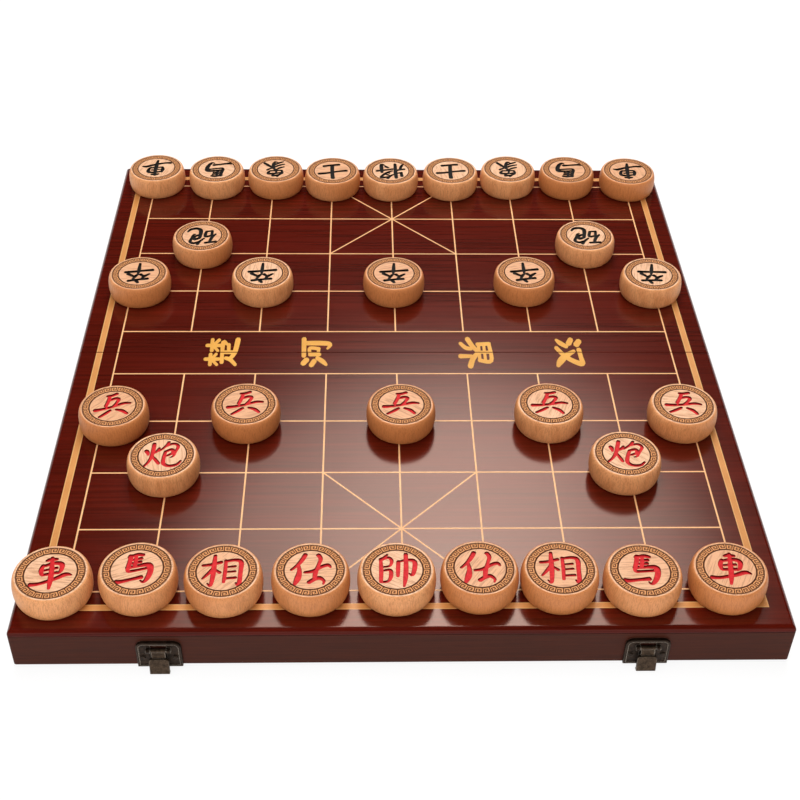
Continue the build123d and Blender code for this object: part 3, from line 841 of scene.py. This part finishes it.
def carved_disc(mark, paint, wall_shade_paint):
    """The middle of a face with its mark cut in."""
    bm = bmesh.new()
    radius = RING_INNER / 2 * MM
    bmesh.ops.create_cone(bm, cap_ends=True, segments=FACETS, radius1=radius, radius2=radius,
                          depth=PLATE_DEPTH * MM)
    bmesh.ops.rotate(bm, verts=bm.verts, matrix=Matrix.Rotation(math.pi / 2, 3, "Z"))
    bmesh.ops.translate(bm, verts=bm.verts, vec=(0, 0, (MAN_HEIGHT - PLATE_DEPTH / 2) * MM))
    plate = mesh_object("plate", bm, beech_wood)
    floor_height = (MAN_HEIGHT - MARK_DEPTH) * MM
    brush = FINE_BRUSH.get(mark, BRUSH)
    strokes = brushed_blocks(MARKS[mark], MARK_SIZE / 100 * MM, brush,
                             floor_height, floor_height + PLATE_DEPTH * MM)
    bmesh.ops.scale(strokes, verts=strokes.verts, vec=(MARK_SLIM.get(mark, 1.0), 1.0, 1.0))
    # The walls of the cut take the second, darker paint: painted shade.
    cutter = mesh_object("cutter", strokes, paint, wall_shade_paint)
    return cut_block(plate, cutter, "DIFFERENCE")


def man_mesh(mark, paint, wall_shade_paint):
    """The whole man: carved disc, drum and key ring, standing at the origin."""
    disc = carved_disc(mark, paint, wall_shade_paint)
    order = [material.name for material in disc.materials]
    bm = bmesh.new()
    bm.from_mesh(disc)
    for face in bm.faces:
        name = order[face.material_index]
        face.material_index = {paint.name: PAINT, wall_shade_paint.name: PAINT_WALL_SHADE}.get(name, WOOD)
    below_marks = (MAN_HEIGHT - (MARK_DEPTH + PLATE_DEPTH) / 2) * MM
    unseen = [f for f in bm.faces if min(v.co.z for v in f.verts) < below_marks]
    bmesh.ops.delete(bm, geom=unseen, context="FACES")
    drum_shell(bm)
    bmesh.ops.remove_doubles(bm, verts=bm.verts, dist=0.004 * MM)
    mesh = bpy.data.meshes.new("man")
    bm.to_mesh(mesh)
    bm.free()
    keys = bmesh.new()
    keys.from_mesh(mesh)
    start = len(keys.faces)
    keys.from_mesh(key_band.data)
    keys.faces.ensure_lookup_table()
    for face in keys.faces[start:]:
        face.material_index = SCORCH
    for face in keys.faces:
        face.smooth = True
    keys.to_mesh(mesh)
    keys.free()
    for material in (beech_wood, ring_ground, ring_key, paint, wall_shade_paint, beech_side_with_painted_bounce):
        mesh.materials.append(material)
    mesh.set_sharp_from_angle(angle=math.radians(35))
    return mesh


# How far a hand has turned each man from straight, in degrees.
RED_TURNS = {
    "general": (0,), "advisor": (1, 0), "elephant": (1, -1), "horse": (6, -5),
    "chariot": (9, -4), "cannon": (4, -10), "soldier": (11, 5, 0, -4, -8),
}
BLACK_TURNS = {
    "general": (3,), "advisor": (5, 2), "elephant": (4, -2), "horse": (2, -4),
    "chariot": (4, 0), "cannon": (5, -2), "soldier": (2, 0, -1, 2, -9),
}

hand = random.Random(32)
for side, facing, turns in (("red", 0, RED_TURNS), ("black", 180, BLACK_TURNS)):
    for rank, angles in turns.items():
        mark = rank if rank in MARKS else f"{rank}_{side}"
        master = man_mesh(mark, *paints[side])
        nodes = sorted(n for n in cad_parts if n.startswith(f"{side}_{rank}"))
        for node, angle in zip(nodes, angles, strict=True):
            low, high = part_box(node)
            mesh = master.copy()
            twist = Matrix.Rotation(hand.uniform(0, 2 * math.pi), 4, "Z")
            shift = Vector((hand.uniform(-400, 400), hand.uniform(-400, 400), hand.uniform(-90, 90)))
            wood = mesh.attributes.new("wood", "FLOAT_VECTOR", "POINT")
            for vertex, entry in zip(mesh.vertices, wood.data):
                entry.vector = twist @ (vertex.co / MM) + shift
            middle = Vector(((low.x + high.x) / 2, (low.y + high.y) / 2, low.z))
            turned = Matrix.Rotation(math.radians(facing + angle), 4, "Z")
            mesh.transform(Matrix.Translation(middle) @ turned)
            man = bpy.data.objects.new(f"{node}_turned", mesh)
            bpy.context.scene.collection.objects.link(man)
            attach(man, node)
            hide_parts(node)
        bpy.data.meshes.remove(master)
bpy.data.objects.remove(key_band)

# ---- the river's name ----
# Four broad brushed letters in gold ink across the river, two read from each end of it. The
# fold cuts them, so each half carries its own part.

LETTER_WIDTH = 31.5
LETTER_HEIGHT = 21.5
LETTER_BRUSH = 1.2
OUTER_LETTER = 119.5
INNER_LETTER = 55.4
LETTER_INK = 0.05
LETTER_RUN = 300.0
RIVER_LETTERS = (
    (OUTER_LETTER, -90, (
        "10 88 15, 24 76 16", "4 62 14, 20 52 15", "6 14 8, 18 26 14, 30 44 12",
        "40 82 13, 66 84 12, 90 84 15, 80 56 14, 60 30 13, 34 10 12",
        "46 66 10, 62 38 15, 80 18 18, 98 6 10",
    )),
    (INNER_LETTER, -90, (
        "20 94 11, 22 54 11", "20 92 10, 80 94 11, 78 56 11", "22 58 9, 78 58 9",
        "24 75 8, 78 76 8", "50 92 9, 50 56 9", "48 54 11, 28 38 13, 2 24 14",
        "52 54 11, 74 36 14, 100 26 15", "38 34 10, 34 16 12, 18 0 10", "64 34 10, 64 -4 13",
    )),
    (-INNER_LETTER, 90, (
        "10 88 14, 24 76 15", "4 62 13, 20 52 14", "6 14 8, 18 26 13, 30 44 11",
        "36 86 12, 98 88 13", "82 86 13, 82 30 14, 78 4 12, 62 12 6", "42 68 11, 42 36 11",
        "42 66 9, 64 68 10, 62 38 10", "42 40 9, 62 40 9",
    )),
    (-OUTER_LETTER, 90, (
        "6 82 10, 44 84 10", "26 100 10, 26 56 10", "24 78 8, 6 60 8", "30 76 8, 44 66 9",
        "54 82 10, 96 84 10", "74 100 10, 74 56 10", "72 78 8, 54 62 8", "76 78 8, 94 62 10",
        "14 46 11, 50 48 10, 86 48 12, 78 36 8", "50 46 11, 50 12 11", "52 28 9, 78 30 10",
        "30 36 10, 24 20 11, 6 2 9", "26 22 10, 50 8 13, 96 2 14",
    )),
)


def lettered_half(half, side):
    """The letters' ink on one half: a thin slab of it, cut to the strokes."""
    slab = bmesh.new()
    depth = RIVER * MM
    bmesh.ops.create_cube(slab, size=1.0)
    bmesh.ops.scale(slab, verts=slab.verts, vec=(LETTER_RUN * MM, depth, LETTER_INK * MM))
    reach = side * (SEAM + FOLD_EDGE * MM + depth / 2)
    bmesh.ops.translate(slab, verts=slab.verts, vec=(0, reach, BOARD_TOP))
    letters = bmesh.new()
    for x, turn, strokes in RIVER_LETTERS:
        blocks = brushed_blocks(strokes, LETTER_WIDTH / 100 * MM, LETTER_BRUSH, -MM, MM)
        place = Matrix.Translation((x * MM, 0, BOARD_TOP)) @ Matrix.Rotation(math.radians(turn), 4, "Z")
        place = place @ Matrix.Diagonal((1, LETTER_HEIGHT / LETTER_WIDTH, 1, 1))
        bmesh.ops.transform(blocks, verts=blocks.verts, matrix=place)
        mesh = bpy.data.meshes.new("letter")
        blocks.to_mesh(mesh)
        blocks.free()
        letters.from_mesh(mesh)
        bpy.data.meshes.remove(mesh)
    plate = mesh_object("slab", slab, letter_ink)
    tool = mesh_object("letters", letters, letter_ink, letter_ink)
    mesh = cut_block(plate, tool, "INTERSECT")
    made = bpy.data.objects.new(f"{half}_river_letters", mesh)
    mesh.materials.clear()
    mesh.materials.append(letter_ink)
    bpy.context.scene.collection.objects.link(made)
    return made


for half, side in (("near", -1), ("far", 1)):
    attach(lettered_half(half, side), f"{half}_half")

# ---- the clasps ----
# Two duckbill clasps, cast and given an antique bronze plating that is rubbed lighter on the
# edges. The dished plate and its tacks are fixed, and the bill swings on a wire.


def bronze(name, dark, light):
    metal = Finish(name)
    place = metal.place()
    cloud = metal.grain(place, (0.5, 0.5, 0.5), 4.0, 0.65)
    pits = metal.grain(place, (2.6, 2.6, 2.6), 2.0, 0.7)
    rounded = metal.node("ShaderNodeBevel", None, {"Radius": 0.45 * MM})
    flat = metal.node("ShaderNodeNewGeometry", None, None, "Normal")
    lined = metal.node("ShaderNodeVectorMath", {"operation": "DOT_PRODUCT"}, {0: rounded, 1: flat}, 1)
    edge = (1 - lined).ramp(0.004, 0.08)
    tone = metal.blend((cloud * 0.5 + pits * 0.5).ramp(0.38, 0.62), dark, light)
    worn = metal.blend(edge * 0.75, tone, shade(196, 182, 166))
    return metal.surface(
        Base_Color=worn,
        Metallic=0.85,
        Roughness=0.44 - edge * 0.1 + pits * 0.1,
        Normal=metal.bump(pits, 0.05),
    )


dress(bronze("bronze", shade(28, 19, 13), shade(64, 48, 36)), "left_hasp_plate", "right_hasp_plate",
      "left_catch_plate", "right_catch_plate", "hasp_tacks", "catch_tacks")
# The bills and pins take a lighter copy of the bronze: wear from handling, and painted light where the
# bills face up.
dress(bronze("handled_bronze", shade(46, 34, 24), shade(92, 74, 58)), "left_hasp_bill",
      "right_hasp_bill", "hasp_pivot_pins")

# ---- the hinges ----
# Two small butt hinges in rolled brass, let into the rails along the fold. Each leaf is held by
# three cross-head screws, and a pin runs through the knuckles.


def brass():
    metal = Finish("hinge_brass")
    place = metal.place()
    drawn = metal.grain(place, (0.2, 3.0, 3.0), 3.0, 0.6)
    stain = metal.grain(place, (0.3, 0.3, 0.3), 3.0)
    tone = metal.blend(stain.ramp(0.35, 0.7), shade(214, 176, 98), shade(176, 134, 66))
    return metal.surface(
        Base_Color=tone,
        Metallic=1.0,
        Roughness=0.28 + drawn * 0.16,
        Normal=metal.bump(drawn, 0.01),
    )


dress(brass(), "left_hinge_near_leaf", "left_hinge_far_leaf", "right_hinge_near_leaf",
      "right_hinge_far_leaf", "hinge_pins", "near_hinge_screws", "far_hinge_screws")
